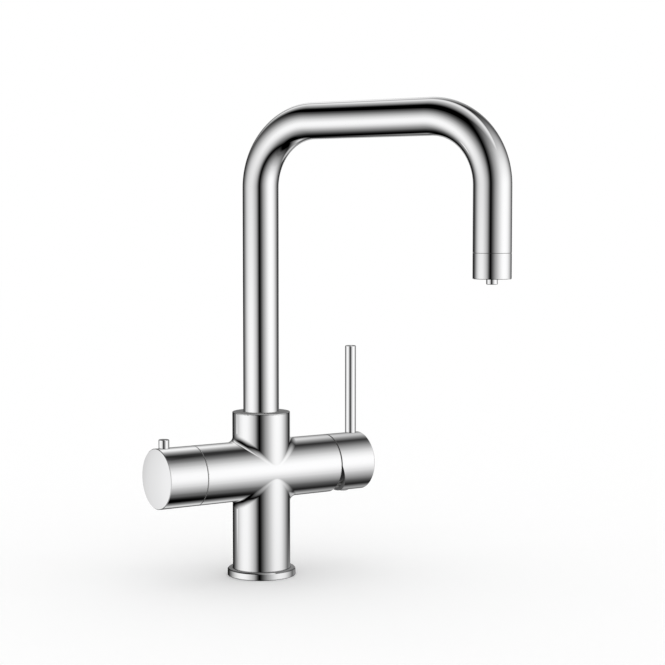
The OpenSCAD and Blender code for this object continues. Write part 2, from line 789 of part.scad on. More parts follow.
// Sector of a ring of radii r and bore_r between two angles.
module ring_sector(r, bore_r, h, start, end) {
    rotate([0, 0, start]) rotate_extrude(angle = end - start) {
        translate([bore_r, 0]) square([r - bore_r, h]);
    }
}

module spout_spigot() {
    slack = asin((grub_tip_d / 2 + tip_gap) / groove_r);
    groove_w = grub_tip_d + free;
    color(brass) difference() {
        union() {
            translate([0, 0, spigot_z]) cylinder(r = spigot_r, h = tube_z - spigot_z);
            translate([0, 0, tube_z]) cylinder(r = tube_bore_r - fit, h = spigot_neck);
        }
        translate([0, 0, spigot_z - over]) {
            cylinder(r = spigot_bore_r, h = tube_z + spigot_neck - spigot_z + 2 * over);
        }
        for (z = o_ring_zs) {
            translate([0, 0, z - o_ring_d / 2 - seal_gap]) {
                pipe(spigot_r + over, o_ring_groove_r, o_ring_d + 2 * seal_gap);
            }
        }
        translate([0, 0, grub_z - groove_w / 2]) {
            ring_sector(spigot_r + over, groove_r, groove_w,
                90 + spout_rest - swivel_limit - slack, 90 + spout_rest + swivel_limit + slack);
        }
    }
}

module bearing_o_ring(z) {
    color(rubber) translate([0, 0, z]) o_ring(o_ring_groove_r + seal_gap + o_ring_d / 2, o_ring_d);
}

module upper_o_ring() {
    bearing_o_ring(o_ring_zs[0]);
}

module lower_o_ring() {
    bearing_o_ring(o_ring_zs[1]);
}

// ---- Spout ----

// A bar that follows the spout's axis from height z up, across and down to height end.
module spout_path(r, z, end) {
    bend_z = tube_axis_z - bend_r;
    spout_turned() {
        translate([0, 0, z]) cylinder(r = r, h = bend_z - z);
        translate([bend_r, 0, bend_z]) rotate([90, 0, 0]) quarter_bend(r, 90);
        translate([bend_r, 0, tube_axis_z]) rotate([0, 90, 0]) {
            cylinder(r = r, h = spout_reach - 2 * bend_r);
        }
        translate([spout_reach - bend_r, 0, bend_z]) rotate([90, 0, 0]) quarter_bend(r, 0);
        translate([spout_reach, 0, end]) cylinder(r = r, h = bend_z - end);
    }
}

module quarter_bend(r, start) {
    rotate([0, 0, start]) rotate_extrude(angle = 90) translate([bend_r, 0]) circle(r = r);
}

module spout_tube() {
    color(chrome) difference() {
        spout_path(tube_r, tube_z, tube_end_z);
        spout_path(tube_bore_r, tube_z - over, tube_end_z - over);
    }
}

module boiling_tube() {
    color(steel) difference() {
        spout_path(hot_tube_r, hot_tube_z, hot_tube_end);
        spout_path(hot_tube_r - hot_tube_wall, hot_tube_z - over, hot_tube_end - over);
    }
}

// Three-armed clip that carries the boiling water tube in the middle of the spout tube.
module tube_spacer() {
    arm_r = tube_bore_r - fit;
    difference() {
        union() {
            cylinder(r = hot_tube_r + spacer_wall, h = spacer_h);
            intersection() {
                cylinder(r = arm_r, h = spacer_h);
                for (k = [0 : 2]) {
                    rotate([0, 0, 120 * k]) translate([0, -spacer_arm / 2, 0]) {
                        cube([2 * arm_r, spacer_arm, spacer_h]);
                    }
                }
            }
        }
        translate([0, 0, -over]) cylinder(r = hot_tube_r + fit, h = spacer_h + 2 * over);
    }
}

module riser_spacer() {
    color(white_plastic) spout_turned() {
        translate([0, 0, tube_z + spigot_neck + spacer_inset]) tube_spacer();
    }
}

module drop_spacer() {
    color(white_plastic) outlet_axis() {
        translate([0, 0, tube_end_z + outlet_collar + spacer_inset]) tube_spacer();
    }
}

// ---- Outlet ----

// Bar from z up to top, with a chamfer round its lower end.
module outlet_bar(r, z, top) {
    translate([0, 0, z]) {
        cylinder(r1 = r - outlet_chamfer, r2 = r, h = outlet_chamfer);
        translate([0, 0, outlet_chamfer]) cylinder(r = r, h = top - z - outlet_chamfer);
    }
}

module outlet_ring() {
    collar_top = tube_end_z + outlet_collar;
    color(chrome) outlet_axis() difference() {
        union() {
            outlet_bar(tube_r, outlet_z, outlet_top);
            translate([0, 0, outlet_top]) {
                cylinder(r = tube_bore_r - fit, h = collar_top - outlet_top);
            }
        }
        translate([0, 0, outlet_z - over]) {
            cylinder(r = outlet_bore_r, h = outlet_h - outlet_flange + over);
        }
        translate([0, 0, outlet_z]) cylinder(r = throat_r, h = collar_top - outlet_z + over);
    }
}

module flow_insert() {
    insert_h = insert_top - insert_z;
    color(white_plastic) outlet_axis() difference() {
        translate([0, 0, insert_z]) pipe(insert_r, insert_bore_r, insert_h);
        for (k = [0 : flow_holes - 1]) {
            rotate([0, 0, 360 * k / flow_holes]) {
                translate([(insert_r + insert_bore_r) / 2, 0, insert_z - over]) {
                    cylinder(d = flow_hole_d, h = insert_h + 2 * over);
                }
            }
        }
    }
}

// Two hoops and radial bars, as a flow straightener has them.
module flow_screen() {
    bar_l = insert_r - insert_bore_r - screen_hoop;
    color(steel) outlet_axis() translate([0, 0, insert_z - fit - screen_t]) {
        pipe(insert_r, insert_r - screen_hoop, screen_t);
        pipe(insert_bore_r + screen_hoop, insert_bore_r, screen_t);
        for (k = [0 : screen_bars - 1]) {
            rotate([0, 0, 360 * k / screen_bars]) {
                translate([insert_bore_r + screen_hoop / 2, -screen_bar / 2, 0]) {
                    cube([bar_l, screen_bar, screen_t]);
                }
            }
        }
    }
}

module outlet_seal() {
    color(rubber) outlet_axis() translate([0, 0, insert_top]) {
        pipe(insert_r, throat_r, outlet_seal_t);
    }
}

module boiling_nozzle() {
    color(chrome) outlet_axis() difference() {
        outlet_bar(nozzle_r, nozzle_z, nozzle_top);
        translate([0, 0, nozzle_z - over]) {
            cylinder(r = hot_tube_r - hot_tube_wall, h = nozzle_top - nozzle_z + 2 * over);
        }
        translate([0, 0, hot_tube_end]) cylinder(r = hot_tube_r + fit, h = nozzle_socket + over);
    }
}

// ---- Boiling water valve ----

// Water leaves the valve's chamber through two windows in its wall.
module valve_body() {
    neck_top = flange_at + flange_t + valve_neck_l;
    color(brass) difference() {
        union() {
            knob_side(valve_foot) cylinder(d = valve_d, h = hex_at - valve_foot);
            knob_side(hex_at) hex_bar(valve_af, valve_hex);
            knob_side(flange_at) cylinder(r = spindle_r + valve_neck_wall, h = neck_top - flange_at);
        }
        knob_side(valve_foot - over) cylinder(r = valve_bore_r, h = chamber_top - valve_foot + over);
        knob_side(valve_foot) cylinder(r = spindle_r + run, h = neck_top);
        knob_side(spindle_foot) translate([-valve_disc_d / 4, -valve_d, 0]) {
            cube([valve_disc_d / 2, 2 * valve_d, spindle_flange_t]);
        }
    }
}

module valve_seal() {
    color(rubber) knob_side(valve_floor) pipe(valve_d / 2, valve_eye_r, valve_seal_t);
}

// Ceramic disc with two ports, one to each side of its axis at the given angle.
module valve_disc(angle) {
    difference() {
        cylinder(d = valve_disc_d, h = valve_disc_t);
        for (s = [0, 180]) {
            rotate([0, 0, angle + s]) translate([valve_port_at, 0, -over]) {
                cylinder(d = valve_port_d, h = valve_disc_t + 2 * over);
            }
        }
    }
}

module valve_disc_fixed() {
    color(ceramic) knob_side(valve_foot) valve_disc(90);
}

// Its ports lie a turn of the knob away from the fixed disc's, so that it closes them at rest.
module valve_disc_moving() {
    slot_w = key_w + 2 * fit;
    slot_h = key_h + fit;
    color(ceramic) knob_side(valve_foot + valve_disc_t) difference() {
        valve_disc(90 + knob_turn);
        rotate([0, 0, knob_turn]) translate([-slot_w / 2, -valve_disc_d, valve_disc_t - slot_h]) {
            cube([slot_w, 2 * valve_disc_d, slot_h + over]);
        }
    }
}

module valve_spindle() {
    key_l = spindle_flange_d - over;
    color(brass) difference() {
        union() {
            knob_side(spindle_foot) cylinder(d = spindle_flange_d, h = spindle_flange_t);
            knob_side(spindle_foot) cylinder(r = spindle_r, h = barrel_end - spindle_foot);
            knob_side(barrel_end - over) cylinder(d = spline_d, h = spline_l + over);
            knob_side(spindle_foot - key_h) rotate([0, 0, knob_turn]) {
                translate([-key_w / 2, -key_l / 2, 0]) cube([key_w, key_l, key_h + over]);
            }
        }
        knob_side(spindle_seal_at - o_ring_d / 2 - seal_gap) {
            pipe(spindle_r + over, spindle_seal_r - o_ring_d / 2 - seal_gap,
                o_ring_d + 2 * seal_gap);
        }
    }
}

module spindle_o_ring() {
    color(rubber) knob_side(spindle_seal_at) o_ring(spindle_seal_r, o_ring_d);
}

// The slot runs from the top towards the front, as far as the knob turns.
module stop_sleeve() {
    slack = asin((stem_d / 2 + tip_gap) / stem_tip);
    slot_w = stem_d + free;
    color(white_plastic) difference() {
        union() {
            knob_side(flange_at) cylinder(d = mouth_d - 2 * fit, h = flange_t);
            knob_side(flange_at) cylinder(r = sleeve_r, h = sleeve_tip - flange_at);
        }
        knob_side(flange_at - over) {
            cylinder(r = sleeve_bore_r, h = sleeve_tip - flange_at + 2 * over);
        }
        knob_side(peg_x - slot_w / 2) {
            ring_sector(sleeve_r + over, sleeve_bore_r - over, slot_w, -knob_turn - slack, slack);
        }
    }
}

module sleeve_nut() {
    color(brass) knob_side(flange_at + flange_t) {
        pipe(mouth_d / 2 - fit, sleeve_r + tip_gap, sleeve_nut_t);
    }
}

// ---- Boiling water knob ----

module boiling_knob() {
    boss_r = peg_bore_r + peg_boss_wall;
    color(chrome) difference() {
        union() {
            difference() {
                knob_side(knob_rim) chamfered_bar(barrel_r, knob_l, knob_chamfer);
                knob_side(knob_rim - over) cylinder(r = knob_bore_r, h = knob_floor - knob_rim + over);
            }
            knob_side(post_at) cylinder(r = post_r, h = knob_floor + over - post_at);
            intersection() {
                peg_axis(floor_at) cylinder(r = boss_r, h = barrel_r - floor_at);
                knob_side(knob_rim) cylinder(r = knob_bore_r + over, h = knob_floor + over - knob_rim);
            }
        }
        knob_side(post_at - over) cylinder(d = adapter_d + 2 * fit, h = adapter_l + over);
        peg_axis(spring_at) cylinder(r = peg_bore_r, h = barrel_r);
        peg_axis(floor_at - over) cylinder(d = stem_d + 2 * run, h = barrel_r);
    }
}

module knob_adapter() {
    color(white_plastic) knob_side(post_at) {
        pipe(adapter_d / 2, spline_d / 2 + fit, adapter_l - end_gap);
    }
}

module safety_peg() {
    color(chrome) difference() {
        union() {
            peg_axis(peg_shoulder) chamfered_bar(peg_r, peg_in + peg_out, peg_chamfer);
            peg_axis(stem_tip) cylinder(d = stem_d, h = peg_shoulder - stem_tip + over);
        }
        peg_axis(clip_at) pipe(stem_d, stem_d / 2 - clip_groove, clip_t);
    }
}

module peg_clip() {
    play = clip_groove / 20;
    bore_r = stem_d / 2 - clip_groove + play;
    color(steel) peg_axis(clip_at + play) difference() {
        pipe(clip_d / 2, bore_r, clip_t - 2 * play);
        translate([0, -clip_mouth / 2, -over]) cube([clip_d, clip_mouth, 2 * over]);
    }
}

// Helical spring between the knob's floor and the peg's shoulder.
module peg_spring() {
    wire_r = spring_wire / 2;
    coil_r = (peg_bore_r + stem_d / 2) / 2;
    low = spring_at + wire_r + run;
    high = peg_shoulder - wire_r - run;
    sides = 6;
    rings = 12 * spring_turns;
    points = [for (k = [0 : rings], i = [0 : sides - 1])
        let (a = 360 * spring_turns * k / rings, b = 360 * i / sides,
             r = coil_r + wire_r * cos(b))
            [r * cos(a), r * sin(a), low + (high - low) * k / rings + wire_r * sin(b)]];
    walls = [for (k = [0 : rings - 1], i = [0 : sides - 1])
        let (a = k * sides + i, b = k * sides + (i + 1) % sides)
            each [[a, b + sides, b], [a, a + sides, b + sides]]];
    caps = [[for (i = [0 : sides - 1]) i],
        [for (i = [sides - 1 : -1 : 0]) rings * sides + i]];
    color(steel) peg_axis(0) polyhedron(points, concat(walls, caps), 4);
}

// ---- Mixer cartridge ----

// Hot, cold and mixed ports: hot and cold lie up above the axis and side from it.
module mixer_ports(up, side, down, d, h) {
    for (y = [-side, side]) {
        translate([-up, y, -over]) cylinder(d = d, h = h + 2 * over);
    }
    translate([down, 0, -over]) cylinder(d = d, h = h + 2 * over);
}

module cartridge_seal() {
    color(rubber) lever_side(cart_floor) difference() {
        cylinder(r = cart_r, h = cart_seal_t);
        mixer_ports(gallery_offset, inlet_side, gallery_offset, base_port_d, cart_seal_t);
    }
}

// The rim of the neck has a slot below, in which the carrier's lug turns from stop to stop.
module cartridge_housing() {
    slack = asin((stop_w / 2 + tip_gap) / neck_eye_r);
    color(white_plastic) difference() {
        union() {
            lever_side(cart_x) cylinder(r = cart_r, h = shoulder_x - cart_x);
            lever_side(cart_x) cylinder(r = neck_r, h = neck_end - cart_x);
        }
        lever_side(cart_x) {
            mixer_ports(gallery_offset, inlet_side, gallery_offset, base_port_d, cart_base);
        }
        lever_side(fixed_disc_x) cylinder(r = carrier_bore_r, h = neck_end - neck_rim - fixed_disc_x);
        lever_side(fixed_disc_x) cylinder(r = neck_eye_r, h = neck_end);
        lever_side(neck_end - neck_rim) {
            ring_sector(neck_eye_r + stop_reach, neck_eye_r - over, neck_rim + over,
                -lever_turn - slack, lever_turn + slack);
        }
    }
}

module cartridge_disc_fixed() {
    color(ceramic) lever_side(fixed_disc_x) difference() {
        cylinder(d = mix_disc_d, h = mix_disc_t);
        mixer_ports(mix_port_up, mix_port_side, mix_port_down, mix_port_d, mix_disc_t);
    }
}

// The hollow joins the mixed port to the hot and cold ones when the disc has slid up.
module cartridge_disc_moving() {
    color(ceramic) lever_side(driver_x - mix_disc_t) difference() {
        cylinder(d = slide_disc_d, h = mix_disc_t);
        translate([mix_hollow_drop, 0, -over]) {
            cylinder(d = mix_hollow_d, h = over + mix_disc_t / 2);
        }
    }
}

module disc_driver() {
    cup_r = ball_d / 2 + 2 * run;
    color(white_plastic) lever_side(driver_x) difference() {
        cylinder(d = slide_disc_d, h = driver_top - driver_x);
        translate([0, 0, cup_floor]) cylinder(r = cup_r, h = driver_top - driver_x);
    }
}

module cartridge_nut() {
    color(brass) lever_side(shoulder_x) pipe(cart_nut_r, neck_r + 2 * fit, cart_nut_t);
}

// Half of the dome's section, seen with the barrel's axis upright: a wall whose outer and inner
// arcs are centred on the lever's pivot, with a straight collar that sits in the barrel's end.
function arc_points(r, start, end, n) =
    [for (k = [0 : n]) let (a = start + (end - start) * k / n) [r * cos(a), r * sin(a)]];

module lever_shroud() {
    collar = pivot_x - barrel_end + dome_seat;
    inner_r = dome_r - dome_wall;
    color(black_plastic) lever_side(pivot_x) rotate_extrude() polygon(concat(
        [[inner_r, -collar], [dome_r, -collar]],
        arc_points(dome_r, 0, asin(dome_l / dome_r), dome_facets),
        arc_points(inner_r, asin(dome_l / inner_r), 0, dome_facets)));
}

// ---- Lever ----

module cartridge_carrier() {
    slot_w = stem_w + 4 * run;
    top_r = neck_eye_r - 2 * run;
    color(white_plastic) difference() {
        union() {
            lever_side(carrier_x) cylinder(r = carrier_r, h = carrier_top - carrier_x);
            lever_side(carrier_x) cylinder(r = top_r, h = neck_end - carrier_x);
            lever_side(neck_end - neck_rim + 2 * run) {
                translate([top_r - stop_reach, -stop_w / 2, 0]) {
                    cube([2 * stop_reach, stop_w, neck_rim - 2 * run]);
                }
            }
        }
        translate([carrier_x - over, -slot_w / 2, barrel_z - carrier_slot / 2]) {
            cube([neck_end - carrier_x + 2 * over, slot_w, carrier_slot]);
        }
        pivot_pin(pin_d / 2 + fit / 2, 2 * carrier_r + over);
    }
}

module pivot_pin(r, l) {
    translate([pivot_x, l / 2, barrel_z]) rotate([90, 0, 0]) cylinder(r = r, h = l);
}

module lever_pin() {
    color(steel) pivot_pin(pin_d / 2, 2 * (carrier_r - end_gap));
}

module lever_stem() {
    shank_end = hub_floor - end_gap;
    color(brass) difference() {
        union() {
            pivot_pin(eye_d / 2, stem_w);
            translate([pivot_x, -stem_w / 2, barrel_z - stem_w / 2]) {
                cube([shank_end - pivot_x, stem_w, stem_w]);
            }
            lever_side(ball_x) cylinder(d = ball_neck_d, h = ball_arm);
            translate([ball_x, 0, barrel_z]) sphere(d = ball_d);
        }
        pivot_pin(pin_d / 2 + run, stem_w + 2 * over);
    }
}

// Everything below the slanted line of the hub's skirt, from the rim's middle downwards.
module skirt_cut() {
    depth = barrel_r + over;
    slant = depth * tan(lever_tilt + skirt_spare);
    translate([hub_rim, 0, barrel_z]) rotate([90, 0, 0]) {
        linear_extrude(height = barrel_d + 2 * over, center = true) {
            polygon([[-over, 0], [0, 0], [slant, -depth], [-over, -depth]]);
        }
    }
}

// Square hole for the stem, holes for the rod, and the plug's seat over the clamp screw.
module hub_holes(boss_x) {
    stem_hole = stem_w + 2 * fit;
    stud_hole = rod_stud_l + end_gap;
    translate([boss_x - over, -stem_hole / 2, barrel_z - stem_hole / 2]) {
        cube([hub_boss_l + over, stem_hole, stem_hole]);
    }
    translate([rod_x, 0, rod_seat_z]) cylinder(d = rod_d + 2 * fit, h = rod_seat + over);
    translate([rod_x, 0, rod_seat_z - stud_hole]) {
        cylinder(d = rod_stud_d + 2 * fit, h = stud_hole + over);
    }
    translate([plug_x, 0, barrel_z - barrel_r - over]) {
        cylinder(d = plug_d + 2 * fit, h = over + plug_sink + plug_t);
        cylinder(d = plug_d - 2 * plug_ledge, h = hub_wall + 2 * over);
    }
    translate([plug_x, 0, barrel_z - hub_boss_r - over]) {
        cylinder(d = clamp_d + 2 * fit, h = hub_boss_r + over);
    }
}

module lever_hub() {
    boss_x = hub_floor - hub_boss_l;
    color(chrome) difference() {
        union() {
            difference() {
                lever_side(hub_rim) chamfered_bar(barrel_r, hub_l, hub_chamfer);
                lever_side(hub_rim - over) cylinder(r = hub_bore_r, h = hub_floor - hub_rim + over);
            }
            lever_side(boss_x) cylinder(r = hub_boss_r, h = hub_boss_l + over);
        }
        hub_holes(boss_x);
        skirt_cut();
    }
}

module lever_rod() {
    color(chrome) {
        translate([rod_x, 0, rod_seat_z]) chamfered_bar(rod_d / 2, rod_seat + rod_l, rod_chamfer);
        translate([rod_x, 0, rod_seat_z - rod_stud_l]) {
            cylinder(d = rod_stud_d, h = rod_stud_l + over);
        }
    }
}

module hub_grub() {
    color(steel) translate([plug_x, 0, barrel_z - hub_boss_r + tip_gap]) difference() {
        cylinder(d = clamp_d, h = hub_boss_r - tip_gap - stem_w / 2 - fit);
        key_socket(clamp_d / 2, clamp_d / 2);
    }
}

// Low dome: a cap of a large sphere on a short cylinder, pointing down.
module hub_plug() {
    flat_r = plug_d / 2;
    ball = (pow(flat_r, 2) + pow(plug_dome, 2)) / (2 * plug_dome);
    color(chrome) intersection() {
        translate([plug_x, 0, plug_rim_z - plug_dome]) cylinder(r = flat_r, h = plug_t + plug_dome);
        translate([plug_x, 0, plug_rim_z - plug_dome + ball]) sphere(r = ball);
    }
}

base_ring();
base_seal();
body_casting();
inlet_plate();
waterway_core();
waterway_gasket();
upper_bush();
lower_bush();
spout_grub();
spout_tube();
spout_spigot();
upper_o_ring();
lower_o_ring();
boiling_tube();
riser_spacer();
drop_spacer();
outlet_ring();
flow_insert();
flow_screen();
outlet_seal();
boiling_nozzle();
valve_body();
valve_seal();
valve_disc_fixed();
stop_sleeve();
sleeve_nut();
boiling_knob();
knob_adapter();
valve_spindle();
spindle_o_ring();
valve_disc_moving();
safety_peg();
peg_clip();
peg_spring();
cartridge_housing();
cartridge_seal();
cartridge_disc_fixed();
cartridge_nut();
lever_shroud();
cartridge_carrier();
lever_pin();
cartridge_disc_moving();
disc_driver();
lever_stem();
lever_hub();
lever_rod();
hub_grub();
hub_plug();
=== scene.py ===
"""Boiling water tap: looks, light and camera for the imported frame. Metres, in the row's frame."""
import json
import math

import bmesh
import bpy
from mathutils import Matrix, Vector

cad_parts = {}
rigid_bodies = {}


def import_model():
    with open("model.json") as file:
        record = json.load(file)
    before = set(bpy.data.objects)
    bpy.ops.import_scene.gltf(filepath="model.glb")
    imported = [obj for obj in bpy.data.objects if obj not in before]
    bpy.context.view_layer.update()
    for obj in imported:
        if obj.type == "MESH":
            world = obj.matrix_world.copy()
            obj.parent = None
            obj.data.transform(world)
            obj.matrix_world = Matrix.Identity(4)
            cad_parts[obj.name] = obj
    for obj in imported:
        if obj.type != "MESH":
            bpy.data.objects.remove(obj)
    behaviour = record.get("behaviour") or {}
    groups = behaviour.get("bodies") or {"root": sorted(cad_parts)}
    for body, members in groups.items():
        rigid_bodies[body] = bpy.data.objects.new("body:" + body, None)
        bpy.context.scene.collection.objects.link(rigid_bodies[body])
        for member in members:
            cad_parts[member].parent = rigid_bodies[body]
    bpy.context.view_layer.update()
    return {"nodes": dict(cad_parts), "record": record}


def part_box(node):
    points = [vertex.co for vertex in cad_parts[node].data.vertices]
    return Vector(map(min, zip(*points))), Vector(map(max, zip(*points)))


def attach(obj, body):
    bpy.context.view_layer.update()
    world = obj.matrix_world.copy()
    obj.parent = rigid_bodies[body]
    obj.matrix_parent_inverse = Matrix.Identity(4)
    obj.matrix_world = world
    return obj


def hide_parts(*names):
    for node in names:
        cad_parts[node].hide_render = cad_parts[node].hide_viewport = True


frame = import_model()
MM = 0.001

# Sizes that the frame's boxes give
body_low, body_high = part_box("body_casting")
tube_low, tube_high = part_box("spout_tube")
BARREL_END = body_high[0]
BARREL_R = body_high[1]
BODY_TOP = body_high[2]
FOOT_Z = body_low[2]
TUBE_FOOT = tube_low[2]
SPOUT_TOP = tube_high[2]

# Sizes that the boxes don't give
BARREL_Z = 91 * MM
UPRIGHT_R = 24.7 * MM
BLEND_R = 7 * MM
TOP_RIM = 0.5 * MM
END_RIM = 0.3 * MM
MOUTH_RIM = 0.15 * MM
FOOT_BORE_R = 21.5 * MM
FOOT_ROOF_Z = 62 * MM
SOCKET_R = 14.3 * MM
SOCKET_FLOOR = 101 * MM
FLANGE_SEAT_R = 14.9 * MM
FLANGE_SEAT_H = 1 * MM
HOT_SOCKET_R = 4.05 * MM
HOT_SOCKET_Z = 90.5 * MM
GRUB_Z = 129.8 * MM
GRUB_R = 2.5 * MM
GRUB_FLOOR = 16 * MM
CARTRIDGE_GAP = 0.05 * MM
SHROUD_GAP = 0.1 * MM
KNOB_MOUTH_R = 19 * MM
KNOB_MOUTH_BEHIND_SLEEVE = 6 * MM
VALVE_BORE_R = 12.05 * MM
TUBE_R = 15.25 * MM
TUBE_BORE_R = 13.75 * MM
TUBE_END_Z = 278.8 * MM
TUBE_EDGE = 0.3 * MM
TUBE_FOOT_RIM = 0.05 * MM
TUBE_END_RIM = 0.3 * MM
BEND_R = 54.9 * MM
REACH = 221.5 * MM
SPOUT_TURN = math.radians(22.7 - 90)

# How finely the pieces are cut
TURNS = 192
FULL_TURN = [2 * math.pi * k / TURNS for k in range(TURNS + 1)]
WELD = 1e-7
ARC_STEPS = 6
BLEND_STEPS = 16
BEND_STEPS = 48
GAP_STEPS = 6
GRUB_STEPS = 24
GRUB_COLUMNS = 4
GRUB_EDGE = 3.2 * MM

# Camera and studio, as fitted to the photograph. Angles in radians, the lens in millimetres.
CAMERA_AT = (-0.7552, -1.2227, 0.3061)
CAMERA_PITCH = 0.0679
CAMERA_TURN = -0.5958
CAMERA_LENS = 91.29
CAMERA_SENSOR = 36
FLOOR_HALF = 6
STUDIO_AT = Vector((0.1, 0, 0.22))
STUDIO_R = 1.25
STUDIO_SEGMENTS = 96
STUDIO_POWER = 1.1
HIDDEN_FROM = ("camera", "diffuse", "transmission", "volume_scatter", "shadow")

# Chrome, the dark colour painted into its joints as shade, and the sockets that a Mix node has for
# colours
BRIGHT, PAINTED_SHADE = (0.9, 0.9, 0.905), (0.04, 0.04, 0.038)
CHROME_ROUGH = (0.015, 0.035)
OCCLUSION_SAMPLES = 12
MIX_FACTOR, MIX_A, MIX_B, MIX_COLOR = 0, 6, 7, 2
WHITE = (1, 1, 1, 1)


# ---- Meshes whose corners carry the true normal of their surface ----

class Skin:
    """Faces that join where their corners meet. A corner is a (point, normal) pair."""

    def __init__(self):
        self.index = {}
        self.points = []
        self.faces = []
        self.normals = []

    def point(self, p):
        key = tuple(round(c / WELD) for c in p)
        if key not in self.index:
            self.index[key] = len(self.points)
            self.points.append(tuple(p))
        return self.index[key]

    def face(self, corners):
        """One face, turned to the side that its normals point to. Corners that meet count once."""
        ids, normals = [], []
        for p, n in corners:
            i = self.point(p)
            if i not in ids:
                ids.append(i)
                normals.append(n)
        if len(ids) < 3:
            return
        a, b, c = (Vector(self.points[i]) for i in ids[:3])
        across = (b - a).cross(c - a)
        if len(ids) == 4:
            across += (c - a).cross(Vector(self.points[ids[3]]) - a)
        if across.dot(sum(normals, Vector())) < 0:
            ids.reverse()
            normals.reverse()
        self.faces.append(ids)
        self.normals.extend(normals)

    def grid(self, rows):
        for near, far in zip(rows, rows[1:]):
            for j in range(len(near) - 1):
                self.face([near[j], near[j + 1], far[j + 1], far[j]])

    def build(self, name, material, body, node):
        """The finished piece, which rides on a body and stands in for one of its nodes."""
        mesh = bpy.data.meshes.new(name)
        mesh.from_pydata(self.points, [], self.faces)
        mesh.polygons.foreach_set("use_smooth", [True] * len(mesh.polygons))
        mesh.normals_split_custom_set([tuple(n.normalized()) for n in self.normals])
        mesh.materials.append(material)
        piece = bpy.data.objects.new(name, mesh)
        bpy.context.scene.collection.objects.link(piece)
        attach(piece, body)
        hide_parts(node)


def outline(corners):
    """Strips of ((r, z), (nr, nz)) along the (r, z, rounding) corners, metal on the left."""
    strips = []
    start = Vector(corners[0][:2])
    for k in range(1, len(corners)):
        corner = Vector(corners[k][:2])
        along = (corner - Vector(corners[k - 1][:2])).normalized()
        side = Vector((along.y, -along.x))
        rounding = corners[k][2] if len(corners[k]) > 2 else 0
        if not rounding:
            strips.append([(start, side), (corner, side)])
            start = corner
            continue
        onward = (Vector(corners[k + 1][:2]) - corner).normalized()
        turn = math.atan2(along.x * onward.y - along.y * onward.x, along.dot(onward))
        cut = rounding * math.tan(abs(turn) / 2)
        first = corner - along * cut
        strips.append([(start, side), (first, side)])
        way = 1 if turn > 0 else -1
        centre = first - side * rounding * way
        arc = []
        for step in range(ARC_STEPS + 1):
            normal = Matrix.Rotation(turn * step / ARC_STEPS, 2) @ side
            arc.append((centre + normal * rounding * way, normal))
        strips.append(arc)
        start = arc[-1][0]
    return strips


def turn_outline(skin, corners, place, angles):
    """Turns an outline round Z through the angles, then puts it in place."""
    spin = place.to_3x3()
    for strip in outline(corners):
        rows = []
        for a in angles:
            c, s = math.cos(a), math.sin(a)
            rows.append([(place @ Vector((p.x * c, p.x * s, p.y)),
                          spin @ Vector((n.x * c, n.x * s, n.y))) for p, n in strip])
        skin.grid(rows)


# ---- The body: upright and barrel with the blend of a rolling ball ----

def ball_centre(a):
    """Centre of a ball of the blend's radius that touches upright and barrel, over the barrel."""
    s, t = UPRIGHT_R + BLEND_R, BARREL_R + BLEND_R
    return Vector((s * math.cos(a), s * math.sin(a), math.sqrt(t * t - (s * math.sin(a)) ** 2)))


def blend_arc(a, up):
    """Corners across the blend at angle a, from the upright to the barrel."""
    centre = ball_centre(a)
    to_upright = Vector((-math.cos(a), -math.sin(a), 0))
    to_barrel = Vector((0, -centre.y, -centre.z)).normalized()
    swing = to_upright.angle(to_barrel)
    corners = []
    for k in range(BLEND_STEPS + 1):
        part = swing * k / BLEND_STEPS
        out = (math.sin(swing - part) * to_upright + math.sin(part) * to_barrel) / math.sin(swing)
        p = centre + out * BLEND_R
        corners.append((Vector((p.x, p.y, BARREL_Z + up * p.z)),
                        Vector((-out.x, -out.y, -up * out.z))))
    return corners


def upright_column(a, low, high):
    """Corners up the upright's wall at angle a."""
    out = Vector((math.cos(a), math.sin(a), 0))
    return [(out * UPRIGHT_R + Vector((0, 0, z)), out) for z in (low, high)]


def add_grub_window(skin, first, last):
    """The upright's rear wall between two angles, with the hole of the spout's grub screw."""
    rim = []
    for k in range(GRUB_STEPS + 1):
        t = math.pi * k / GRUB_STEPS
        x, h = GRUB_R * math.cos(t), GRUB_R * math.sin(t)
        rim.append((t, math.acos(x / UPRIGHT_R), h))
    for up in (1, -1):
        foot = [(first, 0)] + [(a, h) for t, a, h in rim] + [(last, 0)]
        skin.grid([upright_column(a, GRUB_Z + up * h, GRUB_Z + up * GRUB_EDGE) for a, h in foot])
        wall = []
        for t, a, h in rim:
            inward = Vector((-math.cos(t), 0, -up * math.sin(t)))
            mouth = Vector((UPRIGHT_R * math.cos(a), UPRIGHT_R * math.sin(a), GRUB_Z + up * h))
            wall.append([(mouth, inward), (Vector((mouth.x, GRUB_FLOOR, mouth.z)), inward)])
        skin.grid(wall)


